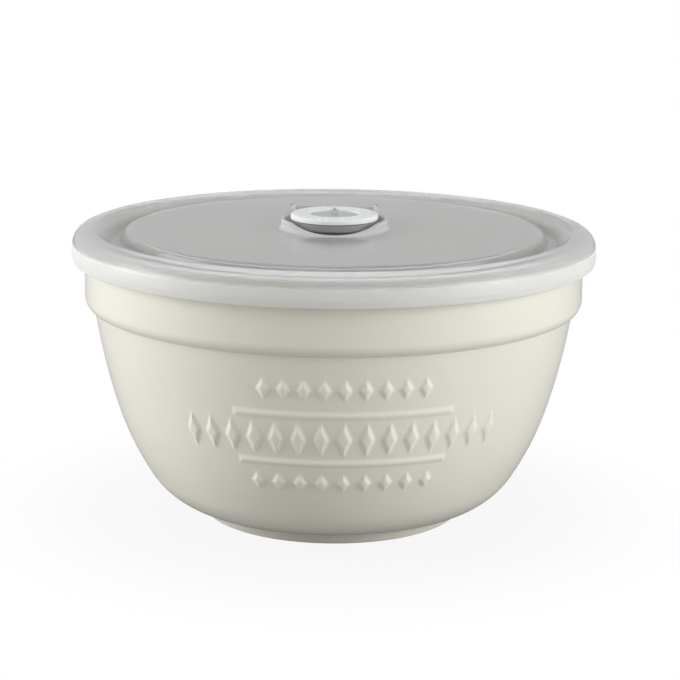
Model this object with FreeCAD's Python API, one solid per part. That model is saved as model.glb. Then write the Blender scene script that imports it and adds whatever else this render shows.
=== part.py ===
"""Pudding basin with a push-on vented lid, in millimetres, +Z up.

The origin is the middle of the foot ring, on the surface the basin stands on.
The front of the basin, with its raised pattern and the low side of the vent
well, faces -Y. Heights of the raised pattern are measured up from the foot.
The belly is drawn from the foot up, the collar stands on the belly, the lid is
sized from the collar and the rim, and the vent is sized from the lid.
"""
import FreeCAD
import Part
import math
import os
from FreeCAD import Vector

# Foot ring
FOOT_RADIUS = 43.4
FOOT_HEIGHT = 3.44
FOOT_EDGE_ROUND = 0.8
FOOT_RING_WIDTH = 6.4
FOOT_RECESS = 2.6
FOOT_FLARE = 0.8

# Belly: three tangent arcs from the foot up, and how far each end leans from upright
LOWER_ARC = 24.8
MIDDLE_ARC = 97.4
UPPER_ARC = 213.0
FOOT_ANGLE = 81.5
LOWER_ANGLE = 32.3
UPPER_ANGLE = 17.0
COLLAR_ANGLE = 8.25
BASIN_WALL = 4.4

# Collar and rim: with the belly they make a basin 165 across and 94 high
COLLAR_STEP = 3.1
COLLAR_HEIGHT = 24.0
COLLAR_EDGE_ROUND = 4.3
RIM_OUTER_ROUND = 2.4
RIM_INNER_ROUND = 2.6

# Raised pattern on the front of the basin
PATTERN_TURN_ANGLE = 3.0
PATTERN_RELIEF = 0.8
PATTERN_ROOT = 1.5
BAR_HALF_ANGLE = 26.0
BAR_WIDTH = 1.5
UPPER_BAR_HEIGHT = 51.1
LOWER_BAR_HEIGHT = 34.9
STUD_SLOPE_RATIO = 0.7
MIDDLE_ROW_HEIGHT = 43.0
MIDDLE_ROW_HALF_ANGLE = 38.0
MIDDLE_ROW_COUNT = 15
MIDDLE_STUD_LENGTH = 10.0
MIDDLE_STUD_WIDTH = 4.2
TOP_ROW_HEIGHT = 59.5
TOP_ROW_HALF_ANGLE = 18.5
TOP_ROW_COUNT = 9
BOTTOM_ROW_HEIGHT = 27.8
BOTTOM_ROW_HALF_ANGLE = 22.0
BOTTOM_ROW_COUNT = 9
SMALL_STUD_LENGTH = 5.6
SMALL_STUD_WIDTH = 3.6

# Lid
LID_THICKNESS = 1.3
LID_SEAT_GAP = 0.3
CREST_THICKNESS = 2.0
SKIRT_OVERHANG = 4.1
SKIRT_HEIGHT = 10.0
SKIRT_DRAFT = 0.4
SKIRT_EDGE_ROUND = 0.5
LID_SHOULDER_ROUND = 5.0
CREST_INNER_ROUND = 1.6
INNER_SLOPE_ANGLE = 38.5
GROOVE_DEPTH = 4.3
GROOVE_WIDTH = 3.3
GROOVE_ROUND = 1.2
PLATEAU_DROP = 0.6
PLATEAU_SHOULDER = 1.2
PLATEAU_EDGE_ROUND = 2.0
GRIP_CLEARANCE = 0.3
GRIP_HEIGHT = 2.2
GRIP_SLOPE_HEIGHT = 1.6

# Flip-up vent cap
CAP_RADIUS = 14.5
CAP_RISE = 1.7
CAP_THICKNESS = 1.8
CAP_EDGE_ROUND = 0.9
CAP_UNDER_ROUND = 0.25
CAP_HOLE_RADIUS = 8.3
CAP_HOLE_ROUND = 0.35
CAP_ARM_HALF_WIDTH = 9.5
CAP_ARM_THICKNESS = 1.3
CAP_NOTCH_WIDTH = 4.4
CAP_NOTCH_REACH = 3.3
NIB_RADIUS = 0.7
NIB_RISE = 0.45
NIBS_PER_GROUP = 4
NIB_STEP_ANGLE = 9.0
NIB_GROUP_ANGLES = (58.0, 122.0, 243.0, 297.0)
TAB_LENGTH = 3.2
TAB_WIDTH = 1.1

# Soft plug under the cap
PLUG_CLEARANCE = 0.1
PLUG_HEAD_SINK = 0.7
PLUG_HEAD_ROUND = 0.3
PLUG_FLANGE_INSET = 0.2
PLUG_FLANGE_THICKNESS = 2.5
PLUG_FLANGE_ROUND = 0.5
PLUG_NECK_INSET = 1.5
PLUG_BOWL_RADIUS = 11.3
PLUG_BOWL_TOP_DROP = 2.6
PLUG_SIDE_ROUND = 4.0
PLUG_BOTTOM_ROUND = 3.2
PLUG_SEAT_GAP = 0.3
PLUG_CUP_RADIUS = 7.6
PLUG_CUP_DEPTH = 0.9
LOOP_WIDTH = 2.8
LOOP_HEIGHT = 1.7
LOOP_THICKNESS = 0.8
LOOP_DEPTH = 1.2

# Vent well in the middle of the lid
FLANGE_CLEARANCE = 2.1
WELL_WALL = 1.2
WELL_LIP_RISE = 3.3
WELL_DEPTH = 10.1
WELL_FLOOR = 1.3
WELL_BOTTOM_ROUND = 2.2
WELL_CORNER_ROUND = 1.0
WELL_LIP_ROUND = 0.4
STEAM_HOLE_RADIUS = 2.5
SCOOP_START = 8.6
SCOOP_LENGTH = 8.6

# Hinge box behind the well
HINGE_INSET = 1.0
HINGE_DROP = 0.8
HINGE_EAR_INSET = 1.3
HINGE_EAR_THICKNESS = 1.6
HINGE_EAR_RADIUS = 3.4
HINGE_SWING_ROOM = 1.1
HINGE_RIB_THICKNESS = 1.2
HINGE_RIB_ROUND = 0.4
PIN_RADIUS = 0.9
PIN_CLEARANCE = 0.08
PIN_REACH = 1.2
BARREL_RADIUS = 1.3
BARREL_SIDE_GAP = 0.4
BARREL_PLUG_GAP = 0.3

UP = Vector(0, 0, 1)
ALONG_X = Vector(1, 0, 0)
ALONG_Y = Vector(0, 1, 0)
ORIGIN = Vector(0, 0, 0)


def section_point(radius, height):
    """A point of a section, drawn in the XZ plane."""
    return Vector(radius, 0, height)


def on_arc(centre, radius, lean):
    """The point of a belly arc where the wall leans by this many degrees."""
    turn = math.radians(lean)
    return centre + Vector(math.cos(turn), 0, -math.sin(turn)) * radius


def belly_arcs():
    """Centres of the lower, middle and upper arc of the belly, and its top point."""
    foot_top = section_point(FOOT_RADIUS + FOOT_FLARE, FOOT_HEIGHT)
    lower = foot_top - on_arc(ORIGIN, LOWER_ARC, FOOT_ANGLE)
    middle = on_arc(lower, LOWER_ARC, LOWER_ANGLE) - on_arc(ORIGIN, MIDDLE_ARC, LOWER_ANGLE)
    upper = on_arc(middle, MIDDLE_ARC, UPPER_ANGLE) - on_arc(ORIGIN, UPPER_ARC, UPPER_ANGLE)
    return lower, middle, upper, on_arc(upper, UPPER_ARC, COLLAR_ANGLE)


LOWER_CENTRE, MIDDLE_CENTRE, UPPER_CENTRE, BELLY_TOP = belly_arcs()

# Heights and radii that follow from the sizes above
COLLAR_RADIUS = BELLY_TOP.x + COLLAR_STEP
RIM_HEIGHT = BELLY_TOP.z + COLLAR_HEIGHT
RIM_ROUND_HEIGHT = RIM_HEIGHT - RIM_INNER_ROUND
RIM_INNER_LEAN = math.degrees(math.asin((UPPER_CENTRE.z - RIM_ROUND_HEIGHT) / (UPPER_ARC - BASIN_WALL)))
RIM_INNER_EDGE = on_arc(UPPER_CENTRE, UPPER_ARC - BASIN_WALL, RIM_INNER_LEAN)

UNDER_CREST = RIM_HEIGHT + LID_SEAT_GAP
CREST_HEIGHT = UNDER_CREST + CREST_THICKNESS
GROOVE_HEIGHT = CREST_HEIGHT - GROOVE_DEPTH
PLATEAU_HEIGHT = CREST_HEIGHT - PLATEAU_DROP
SKIRT_RADIUS = COLLAR_RADIUS + SKIRT_OVERHANG
SKIRT_BOTTOM = CREST_HEIGHT - SKIRT_HEIGHT

WELL_LIP_HEIGHT = PLATEAU_HEIGHT + WELL_LIP_RISE
WELL_FLOOR_TOP = WELL_LIP_HEIGHT - WELL_DEPTH
CAP_TOP = WELL_LIP_HEIGHT + CAP_RISE
CAP_BOTTOM = CAP_TOP - CAP_THICKNESS
PLUG_FLANGE_RADIUS = CAP_RADIUS - PLUG_FLANGE_INSET
WELL_RADIUS = PLUG_FLANGE_RADIUS + FLANGE_CLEARANCE
WELL_OUTER = WELL_RADIUS + WELL_WALL

HINGE_Y = CAP_RADIUS - HINGE_INSET
HINGE_Z = WELL_LIP_HEIGHT - HINGE_DROP
HINGE_BOX_HALF = CAP_RADIUS - HINGE_EAR_INSET
HINGE_RIB_Y = HINGE_Y + CAP_TOP - HINGE_Z + HINGE_SWING_ROOM


def slope_radius(height, offset):
    """Radius of a line that slopes up over the rim's inner rounding, clear of it by the offset."""
    slope = math.radians(INNER_SLOPE_ANGLE)
    centre_radius = RIM_INNER_EDGE.x + RIM_INNER_ROUND
    rise = height - RIM_ROUND_HEIGHT
    return centre_radius + (rise * math.cos(slope) - RIM_INNER_ROUND - offset) / math.sin(slope)


def rounded_outline(corners):
    """Edges through (radius, height, rounding) corners, each rounded by a tangent arc.

    The outline is closed, and a corner with no rounding stays sharp.
    """
    count = len(corners)
    starts = []
    ends = []
    middles = []
    for index, (radius, height, rounding) in enumerate(corners):
        here = section_point(radius, height)
        before = section_point(*corners[index - 1][:2])
        after = section_point(*corners[(index + 1) % count][:2])
        to_before = (before - here).normalize()
        to_after = (after - here).normalize()
        if rounding <= 0:
            starts.append(here)
            ends.append(here)
            middles.append(None)
            continue
        half_turn = to_before.getAngle(to_after) / 2
        reach = rounding / math.tan(half_turn)
        bisector = (to_before + to_after).normalize()
        centre = here + bisector * (rounding / math.sin(half_turn))
        starts.append(here + to_before * reach)
        ends.append(here + to_after * reach)
        middles.append(centre - bisector * rounding)
    edges = []
    for index in range(count):
        if middles[index] is not None:
            edges.append(Part.Arc(starts[index], middles[index], ends[index]).toShape())
        following = starts[(index + 1) % count]
        if (following - ends[index]).Length > Part.Precision.confusion():
            edges.append(Part.LineSegment(ends[index], following).toShape())
    return edges


def turned(edges):
    """The solid that a closed section makes when it turns once about Z."""
    face = Part.Face(Part.Wire(Part.__sortEdges__(edges)))
    solid = face.revolve(ORIGIN, UP, 360)
    return solid if solid.Volume > 0 else solid.reversed()


def bar_along_x(radius, half_length, y, z):
    """A round bar along X, centred on the YZ point."""
    return Part.makeCylinder(radius, 2 * half_length, Vector(-half_length, y, z), ALONG_X)


def line_edge(start, end):
    """A straight edge between two points."""
    return Part.LineSegment(start, end).toShape()


def lean_edge(centre, radius, lean_from, lean_to):
    """An arc about a centre, between two leans of the wall it draws."""
    middle = on_arc(centre, radius, (lean_from + lean_to) / 2)
    return Part.Arc(on_arc(centre, radius, lean_from), middle, on_arc(centre, radius, lean_to)).toShape()


def belly_radius(height):
    """Outer radius of the belly at a height between the foot and the collar."""
    if height >= on_arc(MIDDLE_CENTRE, MIDDLE_ARC, UPPER_ANGLE).z:
        centre, radius = UPPER_CENTRE, UPPER_ARC
    elif height >= on_arc(LOWER_CENTRE, LOWER_ARC, LOWER_ANGLE).z:
        centre, radius = MIDDLE_CENTRE, MIDDLE_ARC
    else:
        centre, radius = LOWER_CENTRE, LOWER_ARC
    return centre.x + math.sqrt(radius ** 2 - (height - centre.z) ** 2)


def belly_lean(height):
    """Lean of the belly in degrees, from its radii half a wall above and below a height."""
    half = BASIN_WALL / 2
    return math.degrees(math.atan2(belly_radius(height + half) - belly_radius(height - half), 2 * half))


def basin_shell():
    """The turned basin: foot ring, belly of three tangent arcs, collar and rim."""
    foot_inner = FOOT_RADIUS - FOOT_RING_WIDTH
    foot_centre = section_point(FOOT_RADIUS - FOOT_EDGE_ROUND, FOOT_EDGE_ROUND)
    foot_top = on_arc(LOWER_CENTRE, LOWER_ARC, FOOT_ANGLE)
    collar_centre = section_point(COLLAR_RADIUS - COLLAR_EDGE_ROUND, BELLY_TOP.z + COLLAR_EDGE_ROUND)
    collar_meet = math.degrees(math.acos((BELLY_TOP.x - collar_centre.x) / COLLAR_EDGE_ROUND))
    rim_outer = section_point(COLLAR_RADIUS - RIM_OUTER_ROUND, RIM_HEIGHT - RIM_OUTER_ROUND)
    rim_inner = RIM_INNER_EDGE + Vector(RIM_INNER_ROUND, 0, 0)
    rim_inner_top = rim_inner + Vector(0, 0, RIM_INNER_ROUND)
    slant = RIM_INNER_ROUND * math.sqrt(0.5)
    rim_inner_middle = rim_inner + Vector(-slant, 0, slant)
    inner_lower = LOWER_ARC - BASIN_WALL
    inner_middle = MIDDLE_ARC - BASIN_WALL
    inner_upper = UPPER_ARC - BASIN_WALL
    floor_edge = on_arc(LOWER_CENTRE, inner_lower, 90)
    recess_edge = section_point(foot_inner - FOOT_RECESS, FOOT_RECESS)
    recess_middle = section_point(0, FOOT_RECESS)
    floor_middle = section_point(0, floor_edge.z)
    edges = [
        line_edge(recess_middle, recess_edge),
        line_edge(recess_edge, section_point(foot_inner, 0)),
        line_edge(section_point(foot_inner, 0), on_arc(foot_centre, FOOT_EDGE_ROUND, 90)),
        lean_edge(foot_centre, FOOT_EDGE_ROUND, 90, 0),
        line_edge(on_arc(foot_centre, FOOT_EDGE_ROUND, 0), foot_top),
        lean_edge(LOWER_CENTRE, LOWER_ARC, FOOT_ANGLE, LOWER_ANGLE),
        lean_edge(MIDDLE_CENTRE, MIDDLE_ARC, LOWER_ANGLE, UPPER_ANGLE),
        lean_edge(UPPER_CENTRE, UPPER_ARC, UPPER_ANGLE, COLLAR_ANGLE),
        line_edge(BELLY_TOP, on_arc(collar_centre, COLLAR_EDGE_ROUND, collar_meet)),
        lean_edge(collar_centre, COLLAR_EDGE_ROUND, collar_meet, 0),
        line_edge(on_arc(collar_centre, COLLAR_EDGE_ROUND, 0), on_arc(rim_outer, RIM_OUTER_ROUND, 0)),
        lean_edge(rim_outer, RIM_OUTER_ROUND, 0, -90),
        line_edge(on_arc(rim_outer, RIM_OUTER_ROUND, -90), rim_inner_top),
        Part.Arc(rim_inner_top, rim_inner_middle, RIM_INNER_EDGE).toShape(),
        lean_edge(UPPER_CENTRE, inner_upper, RIM_INNER_LEAN, UPPER_ANGLE),
        lean_edge(MIDDLE_CENTRE, inner_middle, UPPER_ANGLE, LOWER_ANGLE),
        lean_edge(LOWER_CENTRE, inner_lower, LOWER_ANGLE, 90),
        line_edge(floor_edge, floor_middle),
        line_edge(floor_middle, recess_middle),
    ]
    return turned(edges)


def placed_on_belly(shape, height, azimuth):
    """Move a shape made at the origin, outward along +X, onto the belly.

    An azimuth of 0 is the middle of the front, and it grows towards +X.
    """
    shape.rotate(ORIGIN, ALONG_Y, belly_lean(height))
    shape.translate(Vector(belly_radius(height), 0, height))
    shape.rotate(ORIGIN, UP, azimuth + PATTERN_TURN_ANGLE - 90)
    return shape


def lozenge(length, width, outward):
    """The four corners of a lozenge in the wall's plane, this far outward."""
    corners = [
        Vector(outward, 0, length / 2),
        Vector(outward, width / 2, 0),
        Vector(outward, 0, -length / 2),
        Vector(outward, -width / 2, 0),
    ]
    return Part.makePolygon(corners + corners[:1])


def raised_stud(length, width):
    """A lozenge with sloping sides and a flat top, its root sunk in the wall."""
    spread = 2 * PATTERN_ROOT * STUD_SLOPE_RATIO
    shrink = 2 * PATTERN_RELIEF * STUD_SLOPE_RATIO
    root = lozenge(length + spread, width + spread, -PATTERN_ROOT)
    top = lozenge(length - shrink, width - shrink, PATTERN_RELIEF)
    return Part.makeLoft([root, top], True, True)


def stud_row(count, half_angle, height, length, width):
    """Studs at even angles along one height of the belly."""
    studs = []
    for index in range(count):
        azimuth = half_angle * (2 * index / (count - 1) - 1)
        studs.append(placed_on_belly(raised_stud(length, width), height, azimuth))
    return studs


def raised_bar(height):
    """A raised band with chamfered edges that follows the belly round the front."""
    lean = math.radians(belly_lean(height))
    outward = Vector(math.cos(lean), 0, -math.sin(lean))
    along = Vector(math.sin(lean), 0, math.cos(lean))
    on_wall = section_point(belly_radius(height), height)
    half = BAR_WIDTH / 2
    chamfer = PATTERN_RELIEF / 2
    profile = [
        (-PATTERN_ROOT, -half),
        (-PATTERN_ROOT, half),
        (PATTERN_RELIEF - chamfer, half),
        (PATTERN_RELIEF, half - chamfer),
        (PATTERN_RELIEF, chamfer - half),
        (PATTERN_RELIEF - chamfer, -half),
    ]
    corners = [on_wall + outward * out + along * up for out, up in profile]
    face = Part.Face(Part.makePolygon(corners + corners[:1]))
    face.rotate(ORIGIN, UP, PATTERN_TURN_ANGLE - 90 - BAR_HALF_ANGLE)
    band = face.revolve(ORIGIN, UP, 2 * BAR_HALF_ANGLE)
    return band if band.Volume > 0 else band.reversed()


def make_basin():
    """The glazed basin with its raised pattern: one fired piece."""
    raised = [raised_bar(UPPER_BAR_HEIGHT), raised_bar(LOWER_BAR_HEIGHT)]
    raised += stud_row(MIDDLE_ROW_COUNT, MIDDLE_ROW_HALF_ANGLE, MIDDLE_ROW_HEIGHT,
                       MIDDLE_STUD_LENGTH, MIDDLE_STUD_WIDTH)
    raised += stud_row(TOP_ROW_COUNT, TOP_ROW_HALF_ANGLE, TOP_ROW_HEIGHT,
                       SMALL_STUD_LENGTH, SMALL_STUD_WIDTH)
    raised += stud_row(BOTTOM_ROW_COUNT, BOTTOM_ROW_HALF_ANGLE, BOTTOM_ROW_HEIGHT,
                       SMALL_STUD_LENGTH, SMALL_STUD_WIDTH)
    return basin_shell().multiFuse(raised).removeSplitter()


def lid_shell():
    """The moulded lid as one turned section: skirt, crest, groove, plateau and well."""
    plate = LID_THICKNESS
    skirt_inner = SKIRT_RADIUS - plate
    grip = COLLAR_RADIUS + GRIP_CLEARANCE
    well_floor_bottom = WELL_FLOOR_TOP - WELL_FLOOR
    over_slope = LID_SEAT_GAP + plate
    groove_outer = slope_radius(GROOVE_HEIGHT, over_slope)
    groove_inner = groove_outer - GROOVE_WIDTH
    plateau_radius = groove_inner - PLATEAU_SHOULDER
    corners = [
        (SKIRT_RADIUS - SKIRT_DRAFT, SKIRT_BOTTOM, SKIRT_EDGE_ROUND),
        (SKIRT_RADIUS, SKIRT_BOTTOM + GRIP_HEIGHT, GRIP_HEIGHT / 2),
        (SKIRT_RADIUS - SKIRT_DRAFT, CREST_HEIGHT, LID_SHOULDER_ROUND),
        (slope_radius(CREST_HEIGHT, over_slope), CREST_HEIGHT, CREST_INNER_ROUND),
        (groove_outer, GROOVE_HEIGHT, GROOVE_ROUND),
        (groove_inner, GROOVE_HEIGHT, GROOVE_ROUND),
        (plateau_radius, PLATEAU_HEIGHT, PLATEAU_EDGE_ROUND),
        (WELL_OUTER, PLATEAU_HEIGHT, WELL_CORNER_ROUND),
        (WELL_OUTER, WELL_LIP_HEIGHT, WELL_LIP_ROUND),
        (WELL_RADIUS, WELL_LIP_HEIGHT, WELL_LIP_ROUND),
        (WELL_RADIUS, WELL_FLOOR_TOP, WELL_CORNER_ROUND),
        (STEAM_HOLE_RADIUS, WELL_FLOOR_TOP, 0),
        (STEAM_HOLE_RADIUS, well_floor_bottom, 0),
        (WELL_OUTER, well_floor_bottom, WELL_BOTTOM_ROUND),
        (WELL_OUTER, PLATEAU_HEIGHT - plate, WELL_CORNER_ROUND),
        (plateau_radius - plate, PLATEAU_HEIGHT - plate, PLATEAU_EDGE_ROUND - plate),
        (groove_inner - plate, GROOVE_HEIGHT - plate, GROOVE_ROUND),
        (slope_radius(GROOVE_HEIGHT - plate, LID_SEAT_GAP), GROOVE_HEIGHT - plate, GROOVE_ROUND),
        (slope_radius(UNDER_CREST, LID_SEAT_GAP), UNDER_CREST, plate / 4),
        (skirt_inner, UNDER_CREST, LID_SHOULDER_ROUND - plate),
        (skirt_inner, SKIRT_BOTTOM + GRIP_HEIGHT + GRIP_SLOPE_HEIGHT, SKIRT_EDGE_ROUND),
        (grip, SKIRT_BOTTOM + GRIP_HEIGHT, SKIRT_EDGE_ROUND),
        (grip, SKIRT_BOTTOM, SKIRT_EDGE_ROUND),
    ]
    return turned(rounded_outline(corners))


def hinge_ear(side):
    """One upright ear with a round head, on the left (-1) or the right (+1) of the cap."""
    inner = side * HINGE_BOX_HALF
    left = min(inner, inner + side * HINGE_EAR_THICKNESS)
    root = PLATEAU_HEIGHT - LID_THICKNESS / 2
    plate = Part.makeBox(HINGE_EAR_THICKNESS, 2 * HINGE_EAR_RADIUS, HINGE_Z - root,
                         Vector(left, HINGE_Y - HINGE_EAR_RADIUS, root))
    head = Part.makeCylinder(HINGE_EAR_RADIUS, HINGE_EAR_THICKNESS, Vector(left, HINGE_Y, HINGE_Z), ALONG_X)
    inside_well = Part.makeCylinder(WELL_RADIUS, CAP_TOP)
    return plate.fuse(head).cut(inside_well)


def hinge_rib():
    """The straight rib that joins the ears behind the cap and stops it when it opens."""
    outer_half = HINGE_BOX_HALF + HINGE_EAR_THICKNESS
    root = PLATEAU_HEIGHT - LID_THICKNESS / 2
    corner = Vector(-outer_half, HINGE_RIB_Y, root)
    rib = Part.makeBox(2 * outer_half, HINGE_RIB_THICKNESS, CAP_TOP - root, corner)
    long_top_edges = [edge for edge in rib.Edges
                      if edge.BoundBox.XLength > outer_half and edge.CenterOfMass.z > HINGE_Z]
    return rib.makeFillet(HINGE_RIB_ROUND, long_top_edges)


def scoop_cutter():
    """All that lies over the sloping cut that lowers the front of the well's lip."""
    fall = WELL_LIP_HEIGHT - PLATEAU_HEIGHT
    reach = 2 * WELL_OUTER
    over = WELL_LIP_HEIGHT + fall
    profile = [
        Vector(-reach, SCOOP_LENGTH - SCOOP_START, over),
        Vector(-reach, -SCOOP_START - SCOOP_LENGTH, PLATEAU_HEIGHT),
        Vector(-reach, -reach, PLATEAU_HEIGHT),
        Vector(-reach, -reach, over),
    ]
    face = Part.Face(Part.makePolygon(profile + profile[:1]))
    return face.extrude(ALONG_X * (2 * reach))


def make_lid():
    """The translucent lid: one moulding with its vent well and hinge ears."""
    pocket_front = WELL_RADIUS / 2
    pocket = Part.makeBox(2 * HINGE_BOX_HALF, HINGE_RIB_Y - pocket_front, CAP_TOP,
                          Vector(-HINGE_BOX_HALF, pocket_front, PLATEAU_HEIGHT))
    pin_holes = bar_along_x(PIN_RADIUS + PIN_CLEARANCE, HINGE_BOX_HALF + 2 * HINGE_EAR_THICKNESS,
                            HINGE_Y, HINGE_Z)
    opened = lid_shell().cut(scoop_cutter()).cut(pocket)
    return opened.multiFuse([hinge_ear(-1), hinge_ear(1), hinge_rib()]).cut(pin_holes).removeSplitter()


def nib_angles():
    """Angles of the raised nibs round the cap's ring, in degrees."""
    angles = []
    for centre in NIB_GROUP_ANGLES:
        for index in range(NIBS_PER_GROUP):
            angles.append(centre + NIB_STEP_ANGLE * (index - (NIBS_PER_GROUP - 1) / 2))
    return angles


def notch_prism(margin):
    """The triangular pointer behind the cap's hole, smaller all round by the margin."""
    half = CAP_NOTCH_WIDTH / 2 - margin
    shoulder = CAP_HOLE_RADIUS - margin
    tip = shoulder + CAP_NOTCH_REACH
    corners = [
        Vector(-half, shoulder / 2, 0),
        Vector(half, shoulder / 2, 0),
        Vector(half, shoulder, 0),
        Vector(0, tip, 0),
        Vector(-half, shoulder, 0),
    ]
    face = Part.Face(Part.makePolygon(corners + corners[:1]))
    return face.extrude(UP * CAP_TOP)


def make_vent_cap():
    """The white flip-up cap: ring, nibs, hinge arms, barrel and its two pins."""
    ring = turned(rounded_outline([
        (CAP_HOLE_RADIUS, CAP_BOTTOM, 0),
        (CAP_RADIUS, CAP_BOTTOM, CAP_UNDER_ROUND),
        (CAP_RADIUS, CAP_TOP, CAP_EDGE_ROUND),
        (CAP_HOLE_RADIUS, CAP_TOP, CAP_HOLE_ROUND),
    ]))
    barrel_half = HINGE_BOX_HALF - BARREL_SIDE_GAP
    arms = Part.makeBox(2 * CAP_ARM_HALF_WIDTH, HINGE_Y, CAP_ARM_THICKNESS,
                        Vector(-CAP_ARM_HALF_WIDTH, 0, CAP_BOTTOM))
    arms = arms.cut(Part.makeCylinder(CAP_RADIUS - CAP_EDGE_ROUND, CAP_TOP))
    barrel = bar_along_x(BARREL_RADIUS, barrel_half, HINGE_Y, HINGE_Z)
    pins = bar_along_x(PIN_RADIUS, HINGE_BOX_HALF + PIN_REACH, HINGE_Y, HINGE_Z)
    pieces = [arms, barrel, pins]
    mark_circle = (CAP_HOLE_RADIUS + CAP_RADIUS) / 2
    dome_radius = (NIB_RADIUS ** 2 + NIB_RISE ** 2) / (2 * NIB_RISE)
    for angle in nib_angles():
        turn = math.radians(angle)
        centre = Vector(math.cos(turn), math.sin(turn), 0) * mark_circle
        pieces.append(Part.makeSphere(dome_radius, centre + UP * (CAP_TOP + NIB_RISE - dome_radius)))
    for side in (-1, 1):
        corner = Vector(side * mark_circle - TAB_WIDTH / 2, -TAB_LENGTH / 2, CAP_TOP - NIB_RISE)
        pieces.append(Part.makeBox(TAB_WIDTH, TAB_LENGTH, 2 * NIB_RISE, corner))
    return ring.multiFuse(pieces).cut(notch_prism(0)).removeSplitter()


def plug_loop(head_top):
    """The small arched pull loop on the plug's head."""
    radius = LOOP_WIDTH / 2
    crown_z = head_top + LOOP_HEIGHT - radius
    foot = head_top - PLUG_HEAD_SINK
    post = Part.makeBox(LOOP_WIDTH, LOOP_DEPTH, crown_z - foot, Vector(-radius, -LOOP_DEPTH / 2, foot))
    crown = Part.makeCylinder(radius, LOOP_DEPTH, Vector(0, -LOOP_DEPTH / 2, crown_z), ALONG_Y)
    eye_radius = radius - LOOP_THICKNESS
    eye = Part.makeCylinder(eye_radius, 2 * LOOP_DEPTH, Vector(0, -LOOP_DEPTH, crown_z), ALONG_Y)
    gap = Part.makeBox(2 * eye_radius, 2 * LOOP_DEPTH, crown_z - head_top,
                       Vector(-eye_radius, -LOOP_DEPTH, head_top))
    return post.fuse(crown).cut(eye).cut(gap)


def make_vent_plug():
    """The soft stopper: a bowl that closes the steam hole, with its head in the cap."""
    head_top = CAP_TOP - PLUG_HEAD_SINK
    head_radius = CAP_HOLE_RADIUS - PLUG_CLEARANCE
    flange_top = CAP_BOTTOM - PLUG_CLEARANCE
    flange_bottom = flange_top - PLUG_FLANGE_THICKNESS
    bottom = WELL_FLOOR_TOP + PLUG_SEAT_GAP
    cup_top = bottom + PLUG_CUP_DEPTH
    plug = turned(rounded_outline([
        (0, head_top, 0),
        (head_radius, head_top, PLUG_HEAD_ROUND),
        (head_radius, flange_top, 0),
        (PLUG_FLANGE_RADIUS, flange_top, PLUG_FLANGE_ROUND),
        (PLUG_FLANGE_RADIUS, flange_bottom, PLUG_FLANGE_ROUND),
        (PLUG_FLANGE_RADIUS - PLUG_NECK_INSET, flange_bottom, 0),
        (PLUG_BOWL_RADIUS, flange_bottom - PLUG_BOWL_TOP_DROP, PLUG_SIDE_ROUND),
        (PLUG_BOWL_RADIUS, bottom, PLUG_BOTTOM_ROUND),
        (PLUG_CUP_RADIUS, bottom, 0),
        (PLUG_CUP_RADIUS - PLUG_CUP_DEPTH, cup_top, 0),
        (0, cup_top, 0),
    ]))
    barrel_front = HINGE_Y - BARREL_RADIUS - BARREL_PLUG_GAP
    behind = Part.makeBox(2 * WELL_OUTER, WELL_OUTER, CAP_TOP, Vector(-WELL_OUTER, barrel_front, 0))
    head_slab = Part.makeCylinder(CAP_RADIUS, head_top - flange_top, Vector(0, 0, flange_top))
    pointer = notch_prism(PLUG_CLEARANCE).common(head_slab)
    return plug.cut(behind).multiFuse([pointer, plug_loop(head_top)]).removeSplitter()


NODES = {
    "basin": make_basin,
    "lid": make_lid,
    "vent_cap": make_vent_cap,
    "vent_plug": make_vent_plug,
}


def main():
    """Build every piece and write one STEP file for each."""
    os.makedirs("parts", exist_ok=True)
    for name, make in NODES.items():
        shape = make()
        shape.exportStep(os.path.join("parts", name + ".step"))
        print(name, "valid", shape.isValid(), "solids", len(shape.Solids), "volume", round(shape.Volume, 1))


main()
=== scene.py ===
"""Looks of a pudding basin with a vented lid: glazed basin, milky lid, white vent cap and grey plug."""
import math
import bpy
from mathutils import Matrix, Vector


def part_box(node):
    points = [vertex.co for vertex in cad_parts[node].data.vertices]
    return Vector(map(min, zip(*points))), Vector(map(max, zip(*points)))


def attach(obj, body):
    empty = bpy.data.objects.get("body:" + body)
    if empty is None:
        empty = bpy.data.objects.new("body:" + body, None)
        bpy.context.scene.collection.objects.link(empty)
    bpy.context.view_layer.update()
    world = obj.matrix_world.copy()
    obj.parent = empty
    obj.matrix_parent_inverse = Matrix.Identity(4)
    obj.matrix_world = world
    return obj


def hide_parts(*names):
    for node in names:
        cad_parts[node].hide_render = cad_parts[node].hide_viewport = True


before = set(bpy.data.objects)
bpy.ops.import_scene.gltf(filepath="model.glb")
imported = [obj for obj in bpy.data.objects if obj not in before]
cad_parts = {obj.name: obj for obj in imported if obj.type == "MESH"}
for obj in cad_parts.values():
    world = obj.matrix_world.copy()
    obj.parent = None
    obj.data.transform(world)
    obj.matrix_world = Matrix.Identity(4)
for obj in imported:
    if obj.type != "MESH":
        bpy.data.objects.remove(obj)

from types import SimpleNamespace

import bpy
import numpy as np
from bpy.props import FloatProperty, FloatVectorProperty, PointerProperty
from mathutils import Matrix, Vector

bl_info = {
    "name": "Pudding Basin with Vented Lid",
    "version": (1, 0, 0),
    "blender": (4, 5, 0),
    "location": "View3D > Sidebar > Pudding Basin",
    "description": "Builds the glazed basin, its milky lid and vent, and a plain studio round them",
    "category": "Add Mesh",
}

MM = 0.001
SAME_PLACE = 1e-7
_, BASIN_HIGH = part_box("basin")
LID_LOW, LID_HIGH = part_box("lid")
COLLAR_RADIUS = BASIN_HIGH.x
RIM_HEIGHT = BASIN_HIGH.z
SKIRT_RADIUS = LID_HIGH.x
SKIRT_BOTTOM = LID_LOW.z

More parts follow.
